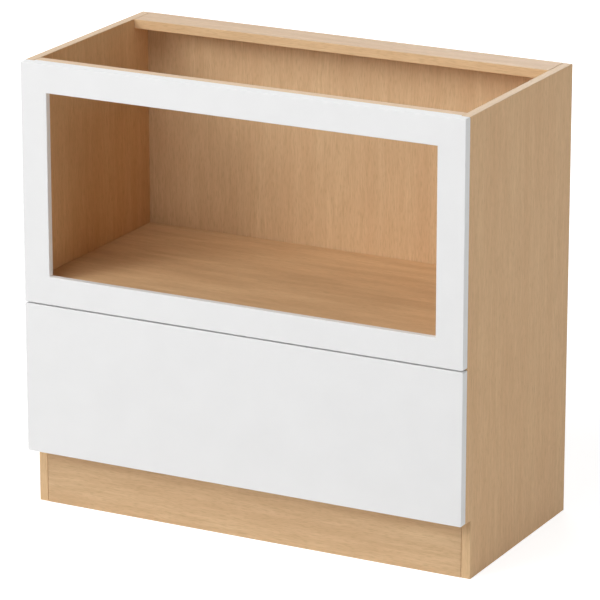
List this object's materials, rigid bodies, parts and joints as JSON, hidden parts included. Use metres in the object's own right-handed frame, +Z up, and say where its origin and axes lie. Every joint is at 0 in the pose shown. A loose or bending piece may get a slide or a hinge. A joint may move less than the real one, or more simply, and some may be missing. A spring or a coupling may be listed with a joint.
{
  "type": "microwave base cabinet",
  "caption": "Base cabinet with an open framed microwave compartment above a handle-less full-extension drawer, on a recessed toe kick.",
  "frame": {"origin": "on the floor, at the middle of the cabinet's footprint", "axes": "+X to the right seen from the front, +Y towards the wall, +Z up; the fronts face -Y"},
  "size_m": [0.914, 0.457, 0.876],
  "materials": {
    "oak_board": "light oak melamine-faced board with fine pores",
    "oak_band": "light oak edge banding, a little paler than the boards",
    "white_lacquer": "satin white lacquered board",
    "drawer_birch": "clear lacquered birch plywood",
    "beech": "plain beech dowel",
    "zinc_steel": "bright zinc plated",
    "cast_zinc": "die-cast zinc",
    "runner_steel": "roll-formed zinc plated sheet",
    "ball_steel": "ground bearing steel",
    "black_plastic": "moulded black plastic"
  },
  "bodies": {
    "carcass": {"left_side_panel": "oak_board", "right_side_panel": "oak_board", "bottom_panel": "oak_board", "deck_panel": "oak_board", "back_panel": "oak_board", "rear_top_rail": "oak_board", "front_top_rail": "oak_board", "rail_packer": "white_lacquer", "toe_kick_board": "oak_board", "rear_plinth_rail": "oak_board", "microwave_frame": "white_lacquer", "frame_screws": "zinc_steel", "frame_brackets": "zinc_steel", "bracket_screws": "zinc_steel", "edge_bands": "oak_band", "cam_locks": "cast_zinc", "cam_bolts": "zinc_steel", "dowels": "beech", "back_screws": "zinc_steel", "left_runner_channel": "runner_steel", "right_runner_channel": "runner_steel", "left_runner_bumper": "black_plastic", "right_runner_bumper": "black_plastic", "runner_channel_screws": "zinc_steel"},
    "drawer": {"drawer_front": "white_lacquer", "drawer_left_side": "drawer_birch", "drawer_right_side": "drawer_birch", "drawer_inner_front": "drawer_birch", "drawer_back": "drawer_birch", "drawer_bottom": "drawer_birch", "drawer_front_screws": "zinc_steel", "left_drawer_member": "runner_steel", "right_drawer_member": "runner_steel", "drawer_member_screws": "zinc_steel", "lever_rivets": "zinc_steel"},
    "left_runner_middle": {"left_middle_member": "runner_steel"},
    "right_runner_middle": {"right_middle_member": "runner_steel"},
    "left_outer_bearing": {"left_outer_cage": "runner_steel", "left_outer_balls": "ball_steel"},
    "right_outer_bearing": {"right_outer_cage": "runner_steel", "right_outer_balls": "ball_steel"},
    "left_inner_bearing": {"left_inner_cage": "runner_steel", "left_inner_balls": "ball_steel"},
    "right_inner_bearing": {"right_inner_cage": "runner_steel", "right_inner_balls": "ball_steel"},
    "left_lever": {"left_release_lever": "black_plastic"},
    "right_lever": {"right_release_lever": "black_plastic"}
  },
  "joints": [
    {"name": "drawer_slide", "type": "slide", "parent": "carcass", "child": "drawer", "axis": [0, -1, 0], "range_m": [0, 0.384]},
    {"name": "left_middle_slide", "type": "slide", "parent": "carcass", "child": "left_runner_middle", "axis": [0, -1, 0], "range_m": [0, 0.192]},
    {"name": "right_middle_slide", "type": "slide", "parent": "carcass", "child": "right_runner_middle", "axis": [0, -1, 0], "range_m": [0, 0.192]},
    {"name": "left_outer_bearing_roll", "type": "slide", "parent": "carcass", "child": "left_outer_bearing", "axis": [0, -1, 0], "range_m": [0, 0.096]},
    {"name": "right_outer_bearing_roll", "type": "slide", "parent": "carcass", "child": "right_outer_bearing", "axis": [0, -1, 0], "range_m": [0, 0.096]},
    {"name": "left_inner_bearing_roll", "type": "slide", "parent": "left_runner_middle", "child": "left_inner_bearing", "axis": [0, -1, 0], "range_m": [0, 0.096]},
    {"name": "right_inner_bearing_roll", "type": "slide", "parent": "right_runner_middle", "child": "right_inner_bearing", "axis": [0, -1, 0], "range_m": [0, 0.096]},
    {"name": "left_lever_tilt", "type": "hinge", "parent": "drawer", "child": "left_lever", "pos_m": [-0.4289, 0.0173, 0.21], "axis": [1, 0, 0], "range_deg": [0, 6], "stiffness_Nm_per_rad": 0.05},
    {"name": "right_lever_tilt", "type": "hinge", "parent": "drawer", "child": "right_lever", "pos_m": [0.4289, 0.0173, 0.21], "axis": [1, 0, 0], "range_deg": [0, 6], "stiffness_Nm_per_rad": 0.05}
  ],
  "couplings": [
    {"joint": "left_middle_slide", "follows": "drawer_slide", "ratio": 0.5},
    {"joint": "right_middle_slide", "follows": "drawer_slide", "ratio": 0.5},
    {"joint": "left_outer_bearing_roll", "follows": "drawer_slide", "ratio": 0.25},
    {"joint": "right_outer_bearing_roll", "follows": "drawer_slide", "ratio": 0.25},
    {"joint": "left_inner_bearing_roll", "follows": "drawer_slide", "ratio": 0.25},
    {"joint": "right_inner_bearing_roll", "follows": "drawer_slide", "ratio": 0.25}
  ]
}
